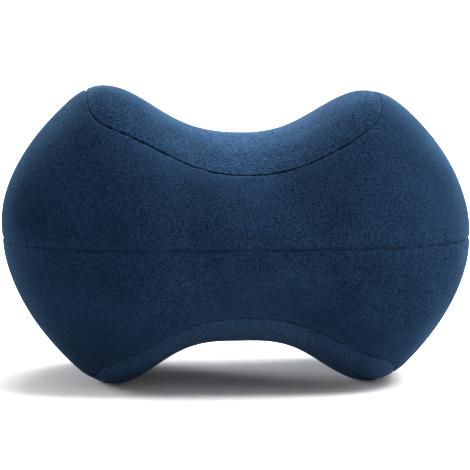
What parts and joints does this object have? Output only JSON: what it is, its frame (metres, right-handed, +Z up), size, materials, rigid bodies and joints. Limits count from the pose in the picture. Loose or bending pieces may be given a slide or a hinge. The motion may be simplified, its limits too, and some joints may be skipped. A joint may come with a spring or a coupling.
{
  "type": "knee pillow",
  "caption": "Hourglass-shaped filled cloth pillow that holds the knees apart, with a hollow for a leg above and below and a sewn girth seam.",
  "frame": {"origin": "on the floor, under the middle of the pillow as it stands on its two lower lobes", "axes": "+X along the pillow's length, +Y along the legs that lie in its hollows, +Z up from the floor"},
  "size_m": [0.2504, 0.1988, 0.1569],
  "materials": {
    "band_velour": "short-pile navy velour, soft sheen",
    "upper_panel_velour": "short-pile navy velour, soft sheen",
    "lower_panel_velour": "short-pile navy velour, soft sheen"
  },
  "bodies": {
    "root": {"pillow_body": "band_velour", "upper_leg_panel": "upper_panel_velour", "lower_leg_panel": "lower_panel_velour"}
  },
  "joints": []
}
